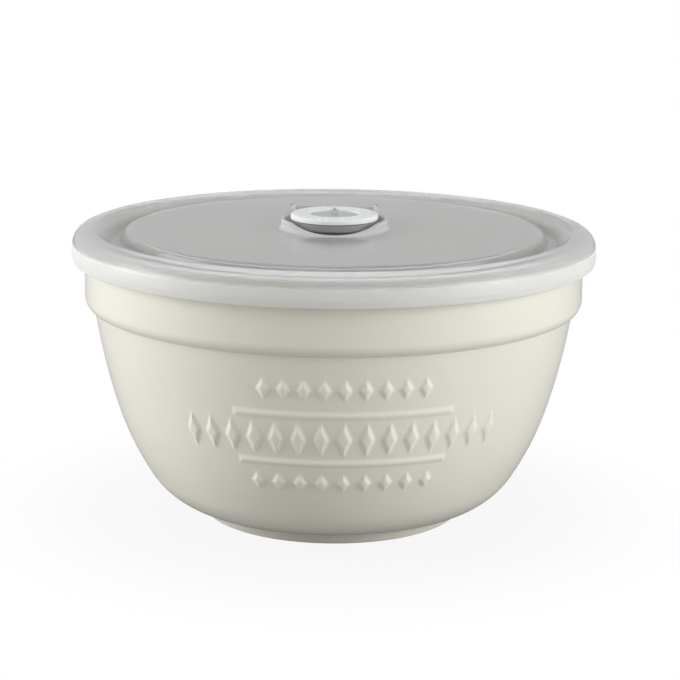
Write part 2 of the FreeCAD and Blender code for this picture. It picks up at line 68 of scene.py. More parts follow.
# Lean of the belly's wall in degrees: at the foot ring, where its arcs meet, and under the collar
FOOT_TOP_LEAN = 81.5
LOWER_LEAN = 32.3
UPPER_LEAN = 17.0
COLLAR_LEAN = 8.25


def length(name, description, default_mm):
    """A length property that is written in millimetres and kept in metres."""
    return FloatProperty(name=name, description=description, default=default_mm * MM, min=0,
                         unit="LENGTH", precision=5)


def angle(name, description, default_degrees):
    """An angle property that is written in degrees and kept in radians."""
    return FloatProperty(name=name, description=description, default=math.radians(default_degrees),
                         unit="ROTATION")


def colour(name, description, default):
    """A colour property in linear red, green and blue."""
    return FloatVectorProperty(name=name, description=description, default=default, min=0, max=1,
                               size=3, subtype="COLOR")


def share(name, description, default):
    """A factor property between none and all."""
    return FloatProperty(name=name, description=description, default=default, min=0, max=1,
                         subtype="FACTOR")


def strength(name, description, default, unit="NONE"):
    """How strong a light is: a lamp's power in watts, or a plain factor."""
    return FloatProperty(name=name, description=description, default=default, min=0, unit=unit)


class BasinSettings(bpy.types.PropertyGroup):
    """Sizes and glaze of the basin."""
    wall: length("Wall", "Thickness of the fired wall", 4.4)
    collar_step: length("Collar step", "How far the collar stands out from the belly", 3.1)
    collar_height: length("Collar height", "Height of the collar up to the rim", 24)
    collar_round: length("Collar rounding", "Radius of the collar's lower edge", 4.3)
    rim_outer_round: length("Outer rim rounding", "Radius of the rim's outer edge", 2.4)
    rim_inner_round: length("Inner rim rounding", "Radius of the rim's inner edge", 2.6)
    upper_arc: length("Upper arc", "Radius of the belly under the collar", 213)
    middle_arc: length("Middle arc", "Radius of the middle of the belly", 97.4)
    lower_arc: length("Lower arc", "Radius of the belly's turn into the foot", 24.8)
    foot_radius: length("Foot radius", "Outer radius of the foot ring", 43.4)
    foot_round: length("Foot rounding", "Radius of the foot ring's edge", 0.8)
    foot_ring: length("Foot ring width", "Width of the ring that the basin stands on", 6.4)
    foot_recess: length("Foot recess", "Depth of the hollow inside the foot ring", 2.6)
    relief: length("Relief", "How far the pattern stands out from the wall", 0.7)
    relief_edge: length("Relief edge", "Width over which the glaze rounds off the pattern's edges", 1.5)
    bar_width: length("Bar width", "Width of the two raised bars", 1.7)
    bar_relief: share("Bar relief", "How high the bars stand, as a share of the relief", 0.7)
    bar_half_angle: angle("Bar half angle", "Half the angle that a bar spans", 26)
    stud_spill: share("Lozenge spill", "Share of its soft edge that lies outside a lozenge's outline", 0.45)
    pattern_turn: angle("Pattern turn", "How far the pattern sits round to the right", 3)
    glaze: colour("Glaze", "Colour of the glaze where it lies thick", (0.725, 0.692, 0.602))
    thin_glaze: colour("Thin glaze", "Colour of the glaze where it runs thin over edges",
                       (0.79, 0.768, 0.695))
    thin_share: share("Thin share", "How much of that colour the sharpest edges show", 0.8)
    roughness: share("Roughness", "Roughness of the glaze", 0.13)
    roughness_spread: share("Roughness spread", "How much rougher the glaze's cloudy patches are", 0.05)


class LidSettings(bpy.types.PropertyGroup):
    """Sizes and plastic of the lid."""
    plate: length("Plate", "Thickness of the moulding", 1.3)
    crest_plate: length("Crest plate", "Thickness over the rim", 2)
    seat_gap: length("Seat gap", "Clearance over the basin's rim", 0.3)
    skirt_draft: length("Skirt draft", "How far the skirt leans in", 0.4)
    skirt_edge: length("Skirt edge", "Rounding of the skirt's lower edge", 0.5)
    shoulder_round: length("Shoulder rounding", "Radius from the skirt into the crest", 5)
    crest_inner_round: length("Crest inner rounding", "Radius from the crest into the slope", 1.6)
    slope: angle("Slope", "Angle of the slope from the crest into the groove", 38.5)
    groove_depth: length("Groove depth", "From the crest down to the groove", 4.3)
    groove_width: length("Groove width", "Width of the groove's floor", 3.3)
    groove_round: length("Groove rounding", "Radius of the groove's corners", 1.2)
    plateau_drop: length("Plateau drop", "From the crest down to the plateau", 0.6)
    plateau_shoulder: length("Plateau shoulder", "Width of the step up from the groove", 1.2)
    plateau_round: length("Plateau rounding", "Radius of the plateau's edge", 2)
    grip: length("Grip clearance", "Clearance of the grip bead round the collar", 0.3)
    grip_height: length("Grip height", "Height of the grip bead", 2.2)
    grip_slope: length("Grip slope", "Height of the slope over the grip bead", 1.6)
    well_radius: length("Well radius", "Inner radius of the vent well", 16.4)
    well_wall: length("Well wall", "Thickness of the well's wall", 1.2)
    well_rise: length("Well rise", "How far the well's lip stands over the plateau", 3.3)
    well_depth: length("Well depth", "Depth of the well", 10.1)
    well_floor: length("Well floor", "Thickness of the well's floor", 1.3)
    well_bottom_round: length("Well bottom rounding", "Outer radius at the well's bottom", 2.2)
    well_round: length("Well rounding", "Radius of the well's corners", 1)
    lip_round: length("Lip rounding", "Radius of the well's lip", 0.4)
    steam_hole: length("Steam hole", "Radius of the hole in the well's floor", 2.5)
    scoop_start: length("Scoop start", "Where the cut of the lip starts, in front of the middle", 8.6)
    scoop_length: length("Scoop length", "Length of the cut from there down to the plateau", 8.6)
    hinge_y: length("Hinge distance", "Distance of the hinge pin behind the middle", 13.5)
    hinge_drop: length("Hinge drop", "Height of the well's lip over the hinge pin", 0.8)
    box_half: length("Hinge box half width", "Half the room between the ears", 13.2)
    ear_plate: length("Ear thickness", "Thickness of an ear", 1.6)
    ear_radius: length("Ear radius", "Radius of an ear's head", 3.4)
    pin_bore: length("Pin bore", "Radius of the bore in an ear", 0.98)
    rib_y: length("Rib distance", "Distance of the rib behind the middle", 17.1)
    rib_plate: length("Rib thickness", "Thickness of the rib", 1.2)
    rib_rise: length("Rib rise", "How far the rib stands over the well's lip", 1.0)
    rib_round: length("Rib rounding", "Radius of the rib's top edges", 0.4)
    plastic: colour("Plastic", "Colour of the clear, polished plastic", (0.83, 0.83, 0.825))
    milky: colour("Milky plastic", "Colour of the milkier plastic of the skirt", (0.95, 0.945, 0.915))
    well_milk: colour("Well plastic", "Colour of the vent well where it stands over the plateau",
                      (0.70, 0.70, 0.695))
    clearness: share("Clearness", "How much light goes through the plastic unscattered", 0.77)
    roughness: share("Roughness", "Roughness of the polished plastic", 0.07)
    haze: share("Haze", "How much of the light the milkier skirt scatters", 0.5)
    well_haze: share("Well haze", "How much of the light the milkier well scatters", 0.9)
    haze_passed: share("Haze passed", "Share of the scattered light that goes on through", 0.3)
    milky_roughness: share("Milky roughness", "Roughness of the milkier plastic", 0.3)
    satin_roughness: share("Satin roughness", "Roughness of the crest and shoulder", 0.12)
    milky_skirt: length("Milky skirt", "Height of the skirt that is milkier, up from its edge", 6.6)
    milky_blend: length("Milky blend", "Width over which one plastic turns into the other", 1.2)


class VentSettings(bpy.types.PropertyGroup):
    """Finishes of the cap and the plug."""
    cap: colour("Cap", "Colour of the white cap", (0.77, 0.775, 0.77))
    cap_roughness: share("Cap roughness", "Roughness of the cap", 0.42)
    cap_spread: share("Cap spread", "How much rougher the cap's grain is", 0.08)
    # Painted light on the plug: its head is painted lighter than its bowl, a painted highlight for the
    # light from above, and the bowl keeps a darker grey, partly the silicone's own colour and partly
    # painted shade on its side.
    plug: colour("Plug", "Colour of the plug's bowl and flange", (0.26, 0.262, 0.265))
    plug_painted_lit_head: colour("Plug head", "Colour of the plug's thinner, brighter head", (0.5, 0.502, 0.505))
    lit_head_height: length("Head height", "Height at which the plug's head starts", 99.4)
    lit_head_blend: length("Head blend", "Height over which the bowl's colour turns into the head's", 1)
    plug_roughness: share("Plug roughness", "Roughness of the plug", 0.5)
    plug_spread: share("Plug spread", "How much rougher the plug's grain is", 0.1)


class StudioSettings(bpy.types.PropertyGroup):
    """Camera, lamps and floor."""
    focal_length: length("Focal length", "Focal length of the camera", 108.5)
    camera_x: length("Camera side", "How far the camera stands to the right", 2.3)
    camera_distance: length("Camera distance", "How far the camera stands in front", 671.8)
    camera_height: length("Camera height", "Height of the camera", 211)
    camera_pitch: angle("Pitch", "How far the camera looks down", 12.87)
    camera_roll: angle("Roll", "How far the camera leans", 0.6)
    left_power: strength("Left lamp", "Power of the left lamp", 6.7, "POWER")
    right_power: strength("Right lamp", "Power of the right lamp", 5.3, "POWER")
    top_power: strength("Top lamp", "Power of the lamp overhead", 0.3, "POWER")
    lamp_colour: colour("Lamp colour", "Slightly cool colour of the lamps", (0.95, 0.975, 1.0))
    ambient: strength("Ambient", "Strength of the light from all round", 0.6)
    mirrored: strength("Mirrored", "Strength of what reflections see all round", 0.6)
    floor: colour("Floor", "Colour of the floor", (0.42, 0.42, 0.42))
    near_white: share("White near", "How white the camera sees the floor beside the object", 0.9)
    shadow_reach: length("Shadow reach", "Distance from which the floor is seen as white", 130)
    clear_reach: length("Clear reach", "Distance from which the floor is white through the plastic", 900)
    floor_half: length("Floor half width", "Half the width of the floor", 3000)


def polar(lean):
    """Unit steps (cos lean, -sin lean) for leans in degrees: 0 is outward, 90 down and -90 up."""
    turn = np.radians(lean)
    return np.stack((np.cos(turn), -np.sin(turn)), axis=-1)


def arc_points(centre, radius, lean_from, lean_to, count):
    """Points of an arc in a section: the centre plus the radius along each lean."""
    return np.asarray(centre) + radius * polar(np.linspace(lean_from, lean_to, count))


def straight(start, end, count):
    """Points at even steps from start to end, both ends included."""
    return np.linspace(start, end, count)


def joined(pieces):
    """One outline from several, with points that repeat the one before left out."""
    points = np.concatenate(pieces)
    step = np.linalg.norm(np.diff(points, axis=0), axis=1)
    return points[np.concatenate(([True], step > SAME_PLACE))]


def rounded_section(corners, chords=6, longest=2.0 * MM):
    """Closed outline through (radius, height, rounding) corners, each rounded by a tangent arc.

    The arc's centre lies on the corner's bisector, rounding / sin(half the corner's angle) away,
    and straight stretches are divided so that no step is longer than the longest.
    """
    pieces = []
    spots = np.array([corner[:2] for corner in corners], float)
    for index, (_, _, rounding) in enumerate(corners):
        here = spots[index]
        to_before = spots[index - 1] - here
        to_after = spots[(index + 1) % len(spots)] - here
        to_before = to_before / np.linalg.norm(to_before)
        to_after = to_after / np.linalg.norm(to_after)
        if rounding <= 0:
            pieces.append(here[None])
            continue
        half = math.acos(np.clip(to_before @ to_after, -1, 1)) / 2
        bisector = (to_before + to_after) / np.linalg.norm(to_before + to_after)
        centre = here + bisector * rounding / math.sin(half)
        first = here + to_before * rounding / math.tan(half) - centre
        last = here + to_after * rounding / math.tan(half) - centre
        turn = math.atan2(first[0] * last[1] - first[1] * last[0], first @ last)
        angles = math.atan2(first[1], first[0]) + np.linspace(0, turn, chords + 1)
        pieces.append(centre + rounding * np.stack((np.cos(angles), np.sin(angles)), axis=1))
    filled = []
    for index, piece in enumerate(pieces):
        following = pieces[(index + 1) % len(pieces)][0]
        gap = np.linalg.norm(following - piece[-1])
        count = max(2, int(math.ceil(gap / longest)) + 1)
        filled.append(piece)
        filled.append(straight(piece[-1], following, count)[1:-1])
    return joined(filled)


def turn_about_axis(section, angles):
    """Grid of points (angle, section): radius times (cos a, sin a), and the section's height."""
    radius, height = section[:, 0], section[:, 1]
    return np.stack((
        np.cos(angles)[:, None] * radius,
        np.sin(angles)[:, None] * radius,
        np.broadcast_to(height, (len(angles), len(height))),
    ), axis=2)


def grid_quads(columns, rows, wrap_rows, first):
    """Four corner numbers for each cell of a grid whose point (c, r) has number first + c * rows + r.

    The columns close round, and the rows too if they are wrapped.
    """
    column = np.arange(columns)[:, None]
    row = np.arange(rows if wrap_rows else rows - 1)[None]
    next_column = (column + 1) % columns
    next_row = (row + 1) % rows
    corners = (
        column * rows + row,
        next_column * rows + row,
        next_column * rows + next_row,
        column * rows + next_row,
    )
    return first + np.stack(np.broadcast_arrays(*corners), axis=2).reshape(-1, 4)


class Shape:
    """Points and faces of a piece, gathered patch by patch."""

    def __init__(self):
        self.points = []
        self.loops = []
        self.sizes = []
        self.count = 0

    def add_points(self, points):
        """Take points in and return the number of the first."""
        first = self.count
        self.points.append(points.reshape(-1, 3))
        self.count += len(self.points[-1])
        return first

    def add_faces(self, corners):
        """Take in faces that all have the same number of corners."""
        self.loops.append(corners.ravel())
        self.sizes.append(np.full(len(corners), corners.shape[1]))

    def add_ring(self, grid):
        """A surface closed both ways, such as a turned section that doesn't touch its axis."""
        first = self.add_points(grid)
        self.add_faces(grid_quads(grid.shape[0], grid.shape[1], True, first))

    def add_ball(self, grid):
        """A surface closed round its columns, whose first and last rows each shrink to one point."""
        columns, rows = grid.shape[0], grid.shape[1] - 2
        start = self.add_points(grid[0, :1])
        end = self.add_points(grid[0, -1:])
        first = self.add_points(grid[:, 1:-1])
        self.add_faces(grid_quads(columns, rows, False, first))
        column = np.arange(columns)
        following = (column + 1) % columns
        near = first + np.stack((following * rows, column * rows), axis=1)
        far = first + np.stack((column * rows, following * rows), axis=1) + rows - 1
        self.add_faces(np.column_stack((np.full(columns, start), near)))
        self.add_faces(np.column_stack((np.full(columns, end), far)))

    def build(self, name, sharp_angle=40):
        """Put the points and faces into a smooth mesh, with edges kept crisp past the angle in degrees."""
        mesh = bpy.data.meshes.new(name)
        points = np.concatenate(self.points)
        loops = np.concatenate(self.loops)
        sizes = np.concatenate(self.sizes)
        mesh.vertices.add(len(points))
        mesh.vertices.foreach_set("co", points.ravel())
        mesh.loops.add(len(loops))
        mesh.loops.foreach_set("vertex_index", loops)
        mesh.polygons.add(len(sizes))
        mesh.polygons.foreach_set("loop_start", np.cumsum(sizes) - sizes)
        mesh.polygons.foreach_set("use_smooth", np.ones(len(sizes), bool))
        mesh.update(calc_edges=True)
        mesh.validate()
        mesh.set_sharp_from_angle(angle=math.radians(sharp_angle))
        piece = bpy.data.objects.new(name, mesh)
        bpy.context.scene.collection.objects.link(piece)
        return piece


class Field:
    """A number that varies over a surface: Python's operators on it add Math nodes."""

    def __init__(self, nodes, socket):
        self.nodes = nodes
        self.socket = socket

    def maths(self, operation, first, second):
        """The result of one Math node."""
        node = self.nodes.node("ShaderNodeMath", {"operation": operation}, {0: first, 1: second})
        return Field(self.nodes, node.outputs[0])

    def __add__(self, other):
        return self.maths("ADD", self, other)

    def __mul__(self, other):
        return self.maths("MULTIPLY", self, other)

    __radd__ = __add__
    __rmul__ = __mul__


class Nodes:
    """The node tree of a material or a world."""

    def __init__(self, owner):
        owner.use_nodes = True
        self.tree = owner.node_tree

    def found(self, kind):
        """The node of this type that Blender put in."""
        return next(node for node in self.tree.nodes if node.type == kind)

    def node(self, kind, settings, inputs):
        """Add a node, set its settings, and give its sockets values, fields or links."""
        node = self.tree.nodes.new(kind)
        for key, value in settings.items():
            setattr(node, key, value)
        for key, value in inputs.items():
            self.give(node.inputs[key], value)
        return node

    def give(self, socket, value):
        """Link a field or an output to a socket, or set its value."""
        value = value.socket if isinstance(value, Field) else value
        if isinstance(value, bpy.types.NodeSocket):
            self.tree.links.new(value, socket)
        else:
            socket.default_value = value


class Finish(Nodes):
    """A node material, built from a Principled BSDF and Object coordinates."""

    def __init__(self, name):
        self.material = bpy.data.materials.new(name)
        super().__init__(self.material)
        self.shader = self.found("BSDF_PRINCIPLED")
        self.place = self.node("ShaderNodeTexCoord", {}, {}).outputs["Object"]

    def surface(self, **values):
        """Set the shader's sockets, named with underscores for spaces."""
        for key, value in values.items():
            self.give(self.shader.inputs[key.replace("_", " ")], value)

    def noise(self, size, detail=2.0):
        """Cloudy noise between 0 and 1, whose features are about this size in metres."""
        node = self.node("ShaderNodeTexNoise", {}, {
            "Vector": self.place, "Scale": 1 / size, "Detail": detail})
        return Field(self, node.outputs["Fac"])

    def height(self):
        """Height over the ground."""
        return Field(self, self.node("ShaderNodeSeparateXYZ", {}, {0: self.place}).outputs["Z"])

    def radius(self):
        """Distance from the upright middle line: the length of the place times (1, 1, 0)."""
        flat = self.node("ShaderNodeVectorMath", {"operation": "MULTIPLY"}, {0: self.place, 1: (1, 1, 0)})
        away = self.node("ShaderNodeVectorMath", {"operation": "LENGTH"}, {0: flat.outputs["Vector"]})
        return Field(self, away.outputs["Value"])

    def attribute(self, name):
        """A number that the mesh keeps at each point."""
        node = self.node("ShaderNodeAttribute", {"attribute_name": name}, {})
        return Field(self, node.outputs["Fac"])

    def between(self, factor, low, high):
        """A colour that goes from low to high with the factor."""
        node = self.node("ShaderNodeMix", {"data_type": "RGBA"}, {0: factor})
        self.give(node.inputs[6], (*low, 1) if isinstance(low, tuple) else low)
        self.give(node.inputs[7], (*high, 1) if isinstance(high, tuple) else high)
        return node.outputs[2]

    def varied(self, factor, tint, low, high):
        """A tint whose brightness goes from low to high, as shares of its own, with the factor."""
        ends = [tuple(min(1.0, channel * level) for channel in tint) for level in (low, high)]
        return self.between(factor, *ends)

    def ramp(self, value, start, end, low, high):
        """A number that goes smoothly from low to high while the value goes from start to end."""
        node = self.node("ShaderNodeMapRange", {"interpolation_type": "SMOOTHSTEP"}, {
            "Value": value, "From Min": start, "From Max": end, "To Min": low, "To Max": high})
        return Field(self, node.outputs["Result"])

    def mix_shader(self, factor, first, second):
        """A shader that goes from the first to the second with the factor."""
        return self.node("ShaderNodeMixShader", {}, {0: factor, 1: first, 2: second}).outputs[0]

    def cover(self, factor, shader):
        """Lay another shader over the surface, as thick as the factor says."""
        covered = self.mix_shader(factor, self.shader.outputs[0], shader)
        self.give(self.found("OUTPUT_MATERIAL").inputs["Surface"], covered)

    def haze(self, tint, through):
        """A shader of one colour that scatters light back, apart from the share that goes through."""
        scattered = self.node("ShaderNodeBsdfDiffuse", {}, {"Color": (*tint, 1)})
        passed = self.node("ShaderNodeBsdfTranslucent", {}, {"Color": (*tint, 1)})
        return self.mix_shader(through, scattered.outputs[0], passed.outputs[0])

    def bump(self, height, depth):
        """A normal for small unevenness, this deep in metres."""
        node = self.node("ShaderNodeBump", {}, {"Height": height, "Strength": 1.0, "Distance": depth})
        return node.outputs["Normal"]


def glaze_finish(settings):
    """Cream glaze: glossy, a little cloudy, lighter where it runs thin over raised edges."""
    finish = Finish("cream_glaze")
    cloud = finish.noise(size=55 * MM, detail=3.0)
    ripple = finish.noise(size=16 * MM, detail=1.0)
    orange_peel = finish.noise(size=2.2 * MM)
    thick = finish.varied(cloud, settings.glaze, low=0.985, high=1.015)
    finish.surface(
        Base_Color=finish.between(
            finish.attribute("thin") * settings.thin_share, thick, tuple(settings.thin_glaze)),
        Roughness=settings.roughness + settings.roughness_spread * cloud,
        IOR=1.5,
        Coat_Weight=0.25,
        Coat_Roughness=0.06,
        Normal=finish.bump(ripple * 0.9 + orange_peel * 0.1, depth=0.22 * MM),
    )
    return finish.material


def lid_finish(settings):
    """Plastic that most light goes through: polished on top, satin outside, milkier in skirt and well."""
    finish = Finish("milky_plastic")
    cloud = finish.noise(size=30 * MM, detail=3.0)
    grain = finish.noise(size=0.6 * MM)
    height, radius = finish.height(), finish.radius()
    blend = settings.milky_blend
    skirt_top = SKIRT_BOTTOM + settings.milky_skirt
    well_edge = settings.well_radius + settings.well_wall
    plateau = lid_levels(settings).plateau
    outside = finish.ramp(radius, COLLAR_RADIUS - 2 * blend, COLLAR_RADIUS, 0.0, 1.0)
    skirt = outside * finish.ramp(height, skirt_top - blend, skirt_top, 1.0, 0.0)
    well = finish.ramp(radius, well_edge + blend / 2, well_edge + blend, 1.0, 0.0)
    lip = well * finish.ramp(height, plateau - settings.plate, plateau, 0.0, 1.0)
    milky = skirt + well
    clear = finish.varied(cloud, settings.plastic, low=0.98, high=1.02)
    milk = finish.between(lip, tuple(settings.milky), tuple(settings.well_milk))
    finish.surface(
        Base_Color=finish.between(milky, clear, milk),
        Roughness=(
            settings.roughness
            + outside * (settings.satin_roughness - settings.roughness)
            + milky * (settings.milky_roughness - settings.satin_roughness)),
        Transmission_Weight=settings.clearness,
        IOR=1.45,
        Normal=finish.bump(grain * 0.3 + cloud * 0.7, depth=0.12 * MM),
    )
    hazes = [finish.haze(tint, settings.haze_passed) for tint in (settings.milky, settings.well_milk)]
    finish.cover(skirt * settings.haze + well * settings.well_haze, finish.mix_shader(lip, *hazes))
    return finish.material


def cap_finish(settings):
    """White moulded plastic with a fine satin grain."""
    finish = Finish("white_plastic")
    grain = finish.noise(size=0.5 * MM)
    finish.surface(
        Base_Color=finish.varied(finish.noise(size=10 * MM), settings.cap, low=0.98, high=1.01),
        Roughness=settings.cap_roughness + settings.cap_spread * grain,
        IOR=1.49,
        Normal=finish.bump(grain, depth=0.02 * MM),
    )
    return finish.material


def plug_finish(settings):
    """Soft grey silicone with a fine, dull grain, and painted light: the head is painted lighter than the
    bowl, as if lit from above, and the bowl darker, partly as painted shade.
    """
    finish = Finish("grey_silicone")
    grain = finish.noise(size=0.7 * MM, detail=3.0)
    bowl = finish.varied(finish.noise(size=6 * MM), settings.plug, low=0.96, high=1.04)
    # Painted highlight: above this height the head takes the lighter colour, as if lit from above, and
    # below it the bowl keeps the darker, partly shaded grey.
    start = settings.lit_head_height - settings.lit_head_blend / 2
    head = finish.ramp(finish.height(), start, start + settings.lit_head_blend, 0.0, 1.0)
    finish.surface(
        Base_Color=finish.between(head, bowl, tuple(settings.plug_painted_lit_head)),
        Roughness=settings.plug_roughness + settings.plug_spread * grain,
        IOR=1.43,
        Normal=finish.bump(grain, depth=0.04 * MM),
    )
    return finish.material


def belly_centres(settings):
    """Centres of the upper, middle and lower arc of the belly, from its top under the collar down."""
    top = np.array((COLLAR_RADIUS - settings.collar_step, RIM_HEIGHT - settings.collar_height))
    upper = top - settings.upper_arc * polar(COLLAR_LEAN)
    middle = upper + (settings.upper_arc - settings.middle_arc) * polar(UPPER_LEAN)
    lower = middle + (settings.middle_arc - settings.lower_arc) * polar(LOWER_LEAN)
    return top, upper, middle, lower


def rim_inside(settings):
    """Lean at which the inner wall meets the rim's inner rounding, and the rounding's centre."""
    _, upper, _, _ = belly_centres(settings)
    reach = settings.upper_arc - settings.wall
    height = RIM_HEIGHT - settings.rim_inner_round
    lean = math.degrees(math.asin((upper[1] - height) / reach))
    edge = upper + reach * polar(lean)
    return lean, (edge[0] + settings.rim_inner_round, height)


def basin_section(settings):
    """The basin's section from the middle of its underside, up the outside and down the inside.

    The outside is three tangent arcs of the belly, the collar and the rim; the inside is the same
    arcs moved in by the wall.
    """
    top, upper, middle, lower = belly_centres(settings)
    wall = settings.wall
    recess = settings.foot_recess
    foot_inner = settings.foot_radius - settings.foot_ring
    foot_centre = (settings.foot_radius - settings.foot_round, settings.foot_round)
    collar_centre = (COLLAR_RADIUS - settings.collar_round, top[1] + settings.collar_round)
    meet = math.degrees(math.acos((top[0] - collar_centre[0]) / settings.collar_round))
    rim_outer = (COLLAR_RADIUS - settings.rim_outer_round, RIM_HEIGHT - settings.rim_outer_round)
    inner_lean, rim_inner = rim_inside(settings)
    floor_height = lower[1] - settings.lower_arc + wall
    return joined([
        straight((0, recess), (foot_inner - recess, recess), 10),
        straight((foot_inner - recess, recess), (foot_inner, 0), 3),
        straight((foot_inner, 0), (foot_centre[0], 0), 3),
        arc_points(foot_centre, settings.foot_round, 90, 0, 6),
        arc_points(lower, settings.lower_arc, FOOT_TOP_LEAN, LOWER_LEAN, 22),
        arc_points(middle, settings.middle_arc, LOWER_LEAN, UPPER_LEAN, 54),
        arc_points(upper, settings.upper_arc, UPPER_LEAN, COLLAR_LEAN, 62),
        arc_points(collar_centre, settings.collar_round, meet, 0, 12),
        straight((COLLAR_RADIUS, collar_centre[1]), (COLLAR_RADIUS, rim_outer[1]), 4),
        arc_points(rim_outer, settings.rim_outer_round, 0, -90, 8),
        arc_points(rim_inner, settings.rim_inner_round, -90, -180, 9),
        arc_points(upper, settings.upper_arc - wall, inner_lean, UPPER_LEAN, 9),
        arc_points(middle, settings.middle_arc - wall, UPPER_LEAN, LOWER_LEAN, 7),
        arc_points(lower, settings.lower_arc - wall, LOWER_LEAN, 90, 11),
        straight((lower[0], floor_height), (0, floor_height), 9),
    ])


def soft_step(value):
    """0 below 0, 1 above 1, and 3v^2 - 2v^3 between."""
    value = np.clip(value, 0, 1)
    return value * value * (3 - 2 * value)


# Raised rows: height over the foot, half the angle they span, number of lozenges, length and width
STUD_ROWS = (
    (59.5 * MM, math.radians(18.5), 9, 5.6 * MM, 3.6 * MM),
    (43.0 * MM, math.radians(38.0), 15, 10.0 * MM, 4.2 * MM),
    (27.8 * MM, math.radians(22.0), 9, 5.6 * MM, 3.6 * MM),
)
BAR_HEIGHTS = (51.1 * MM, 34.9 * MM)

# Angles round the basin in degrees: its front, and how far the pattern's finer mesh goes left and right
FRONT = -90
PATTERN_LEFT, PATTERN_RIGHT = 40, 46

# Columns of points: where the pattern is, round the rest of the basin, round the lid, round an ear's bore
PATTERN_COLUMNS, BACK_COLUMNS = 256, 138
LID_COLUMNS, EAR_COLUMNS = 360, 96


def relief_over(settings, section, azimuths):
    """How raised each point of the outer wall is, from 0 to 1, as a grid (angle, section).

    A lozenge is 1 - |across| / half width - |up| / half length, a bar is its half width less the
    distance from its middle line, and both pass through a soft step over the edge's width. Up is
    measured along the wall, and across is the angle times the radius.
    """
    radius, height = section[:, 0], section[:, 1]
    along = np.concatenate(([0], np.cumsum(np.linalg.norm(np.diff(section, axis=0), axis=1))))
    outer = int(np.argmax(height >= RIM_HEIGHT - settings.collar_height))
    rising = slice(int(np.argmin(height)), outer)
    turned = azimuths - settings.pattern_turn
    raised = np.zeros((len(azimuths), len(section)))

    def along_at(level):
        return np.interp(level, height[rising], along[rising])

    edge = settings.relief_edge
    for level in BAR_HEIGHTS:
        up = np.abs(along[rising] - along_at(level))[None]
        across = (np.abs(turned) - settings.bar_half_angle)[:, None] * radius[rising]
        depth = np.minimum(settings.bar_width / 2 + edge / 2 - up, edge / 2 - across)
        raised[:, rising] = np.maximum(raised[:, rising], soft_step(depth / edge) * settings.bar_relief)
    for level, half_angle, count, tall, wide in STUD_ROWS:
        up = (along[rising] - along_at(level))[None]
        for centre in np.linspace(-half_angle, half_angle, count):
            across = (turned - centre)[:, None] * radius[rising]
            slant = 1 / math.hypot(2 / wide, 2 / tall)
            depth = (1 - np.abs(across) / (wide / 2) - np.abs(up) / (tall / 2)) * slant
            raised[:, rising] = np.maximum(raised[:, rising], soft_step(depth / edge + settings.stud_spill))
    return raised


def basin_angles():
    """Angles round the basin, close together where the pattern is and wider apart behind."""
    left, right = FRONT - PATTERN_LEFT, FRONT + PATTERN_RIGHT
    front = np.linspace(left, right, PATTERN_COLUMNS, endpoint=False)
    back = np.linspace(right, left + 360, BACK_COLUMNS, endpoint=False)
    return np.radians(np.concatenate((front, back)))


def make_basin(settings):
    """The basin: its section turned about Z, its outer wall pushed out where the pattern is raised.

    The attribute "thin" says where the glaze runs thin: most on the pattern's edges, a little on its faces.
    """
    section = basin_section(settings)
    angles = basin_angles()
    grid = turn_about_axis(section, angles)
    azimuths = (angles - math.radians(FRONT) + math.pi) % (2 * math.pi) - math.pi
    raised = relief_over(settings, section, azimuths)
    tangent = np.gradient(section, axis=0)
    tangent = tangent / np.linalg.norm(tangent, axis=1)[:, None]
    push = raised * settings.relief
    outward = push * tangent[:, 1]
    grid[:, :, 0] += outward * np.cos(angles)[:, None]
    grid[:, :, 1] += outward * np.sin(angles)[:, None]
    grid[:, :, 2] -= push * tangent[:, 0]
    shape = Shape()
    shape.add_ball(grid)
    basin = shape.build("glazed_basin")
    edges = 2 * (np.abs(np.gradient(raised, axis=0)) + np.abs(np.gradient(raised, axis=1)))
    faces = 0.3 * raised
    thin = np.concatenate(([0, 0], np.clip(edges + faces, 0, 1)[:, 1:-1].ravel()))
    layer = basin.data.attributes.new("thin", "FLOAT", "POINT")
    layer.data.foreach_set("value", thin)
    return basin


def slope_radius(settings, basin, height, offset):
    """Radius of the lid's inner slope, a line that clears the rim's inner rounding by the offset."""
    _, (centre, round_height) = rim_inside(basin)
    rise = height - round_height
    over = rise * math.cos(settings.slope) - basin.rim_inner_round - offset
    return centre + over / math.sin(settings.slope)


def lid_levels(settings):
    """Heights of the lid's crest, groove, plateau, well lip and well floor."""
    crest = RIM_HEIGHT + settings.seat_gap + settings.crest_plate
    plateau = crest - settings.plateau_drop
    lip = plateau + settings.well_rise
    return SimpleNamespace(crest=crest, groove=crest - settings.groove_depth, plateau=plateau, lip=lip,
                           floor=lip - settings.well_depth)


